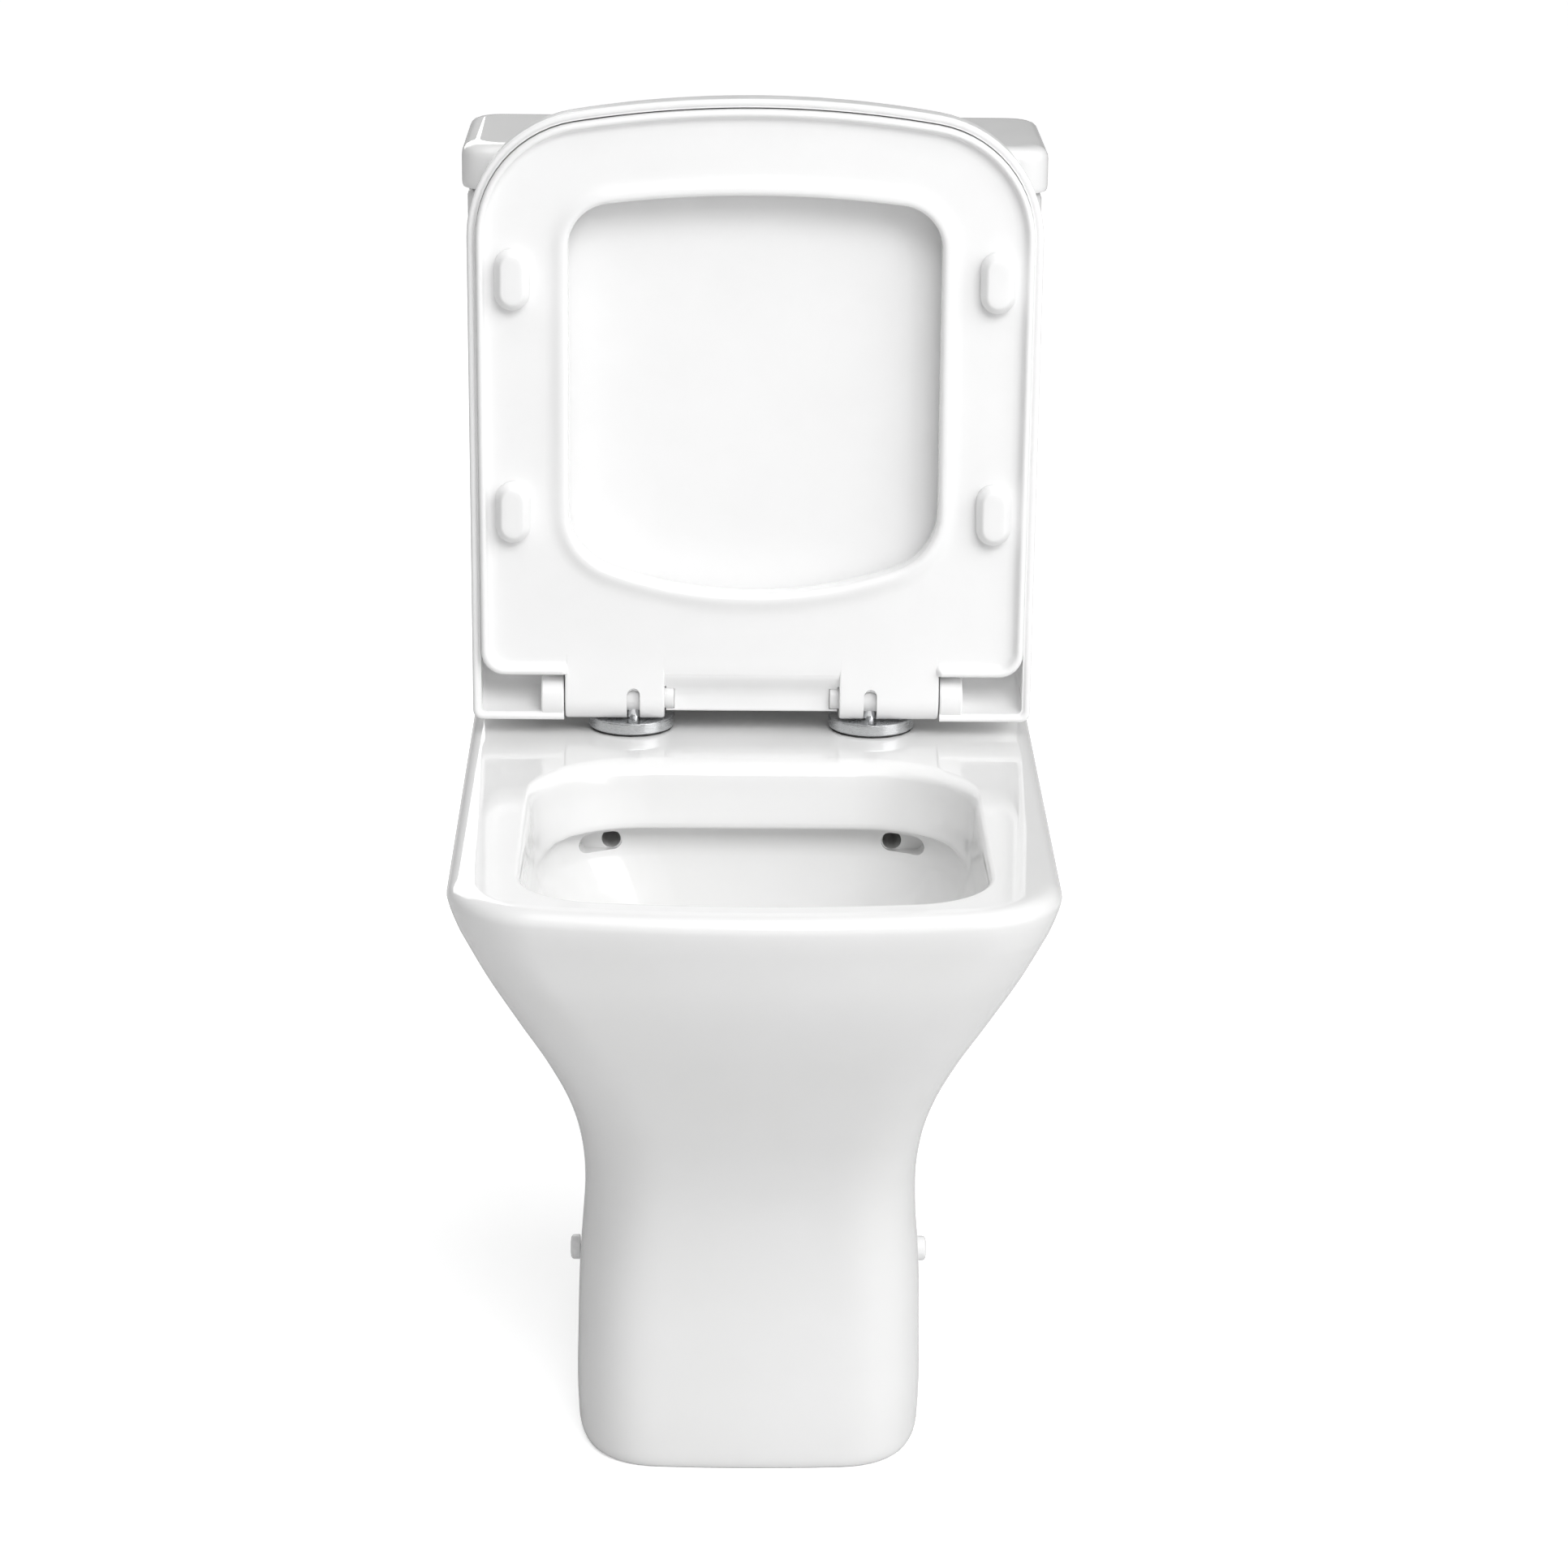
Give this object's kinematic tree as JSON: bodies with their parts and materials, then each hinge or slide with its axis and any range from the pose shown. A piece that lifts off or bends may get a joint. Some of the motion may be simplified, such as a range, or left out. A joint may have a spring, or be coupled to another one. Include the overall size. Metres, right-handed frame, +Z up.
{
  "type": "close coupled toilet",
  "caption": "Square floor-standing toilet pan with a cistern bolted on its rear shelf, a soft-close seat and lid, and push-button dual flush.",
  "frame": {"origin": "on the floor, midway between the front of the rim and the back of the cistern lid, on the centre line", "axes": "+Z up, -Y towards the user at the front, +Y towards the wall, +X to the right of a viewer facing the front"},
  "size_m": [0.3744, 0.575, 0.8104],
  "materials": {
    "china": "white glazed vitreous china",
    "seat_plastic": "smooth white moulded plastic",
    "bumper_plastic": "soft white plastic",
    "grey_plastic": "light grey moulded plastic",
    "valve_plastic": "off-white moulded plastic",
    "blue_plastic": "blue moulded plastic",
    "stainless": "brushed stainless steel",
    "chrome": "polished chrome plate",
    "zinc": "zinc plated steel",
    "black_rubber": "black rubber",
    "foam": "closed cell foam rubber"
  },
  "bodies": {
    "pan": {"pan": "china", "tank": "china", "coupling_gasket": "foam", "flush_valve_body": "valve_plastic", "flush_valve_washer": "black_rubber", "flush_valve_backnut": "valve_plastic", "flush_tower": "valve_plastic", "fill_valve_body": "valve_plastic", "fill_valve_washer": "black_rubber", "fill_valve_backnut": "valve_plastic", "fill_valve_head": "valve_plastic", "coupling_bolt_left": "zinc", "coupling_bolt_right": "zinc", "coupling_washer_left": "black_rubber", "coupling_washer_right": "black_rubber", "coupling_wingnut_left": "zinc", "coupling_wingnut_right": "zinc", "side_cap_left": "seat_plastic", "side_cap_right": "seat_plastic", "side_screw_left": "zinc", "side_screw_right": "zinc", "floor_bracket_left": "grey_plastic", "floor_bracket_right": "grey_plastic", "hinge_base_left": "stainless", "hinge_base_right": "stainless", "hinge_pad_left": "black_rubber", "hinge_pad_right": "black_rubber", "hinge_bolt_left": "zinc", "hinge_bolt_right": "zinc", "hinge_anchor_left": "black_rubber", "hinge_anchor_right": "black_rubber", "hinge_nut_left": "zinc", "hinge_nut_right": "zinc", "hinge_post_left": "chrome", "hinge_post_right": "chrome", "damper_left": "grey_plastic", "damper_right": "grey_plastic"},
    "seat": {"seat": "seat_plastic", "seat_bumper_front_left": "bumper_plastic", "seat_bumper_front_right": "bumper_plastic", "seat_bumper_rear_left": "bumper_plastic", "seat_bumper_rear_right": "bumper_plastic"},
    "lid": {"lid": "seat_plastic", "lid_bumper_left": "bumper_plastic", "lid_bumper_right": "bumper_plastic", "damper_spindle_left": "grey_plastic", "damper_spindle_right": "grey_plastic"},
    "tank_lid": {"tank_lid": "china", "button_housing": "chrome", "button_nut": "valve_plastic"},
    "button_full": {"button_full": "chrome", "push_rod_full": "valve_plastic"},
    "button_half": {"button_half": "chrome", "push_rod_half": "valve_plastic"},
    "flush_lift": {"flush_lift_tube": "blue_plastic", "flush_seal": "black_rubber"},
    "float": {"float_cup": "blue_plastic"},
    "float_arm": {"float_arm": "valve_plastic"}
  },
  "joints": [
    {"name": "lid_hinge", "type": "hinge", "parent": "pan", "child": "lid", "pos_m": [0, 0.0925, 0.427], "axis": [1, 0, 0], "range_deg": [0, 93]},
    {"name": "seat_hinge", "type": "hinge", "parent": "pan", "child": "seat", "pos_m": [0, 0.0925, 0.427], "axis": [1, 0, 0], "range_deg": [0, 93]},
    {"name": "tank_lid_lift", "type": "slide", "parent": "pan", "child": "tank_lid", "axis": [0, 0, 1], "range_m": [0, 0.12]},
    {"name": "button_full_press", "type": "slide", "parent": "tank_lid", "child": "button_full", "axis": [0, 0, -1], "range_m": [0, 0.006], "stiffness_N_per_m": 600, "springref_m": -0.003},
    {"name": "button_half_press", "type": "slide", "parent": "tank_lid", "child": "button_half", "axis": [0, 0, -1], "range_m": [0, 0.006], "stiffness_N_per_m": 600, "springref_m": -0.003},
    {"name": "flush_lift_slide", "type": "slide", "parent": "pan", "child": "flush_lift", "axis": [0, 0, 1], "range_m": [0, 0.012]},
    {"name": "float_slide", "type": "slide", "parent": "pan", "child": "float", "axis": [0, 0, 1], "range_m": [0, 0.012]},
    {"name": "float_arm_hinge", "type": "hinge", "parent": "pan", "child": "float_arm", "pos_m": [0.112, 0.21875, 0.673], "axis": [0, -1, 0], "range_deg": [0, 17]}
  ],
  "couplings": [
    {"joint": "seat_hinge", "follows": "lid_hinge", "ratio": 1},
    {"joint": "flush_lift_slide", "follows": "button_full_press", "ratio": 2},
    {"joint": "float_arm_hinge", "follows": "float_slide", "rad_per_m": 23.8}
  ]
}
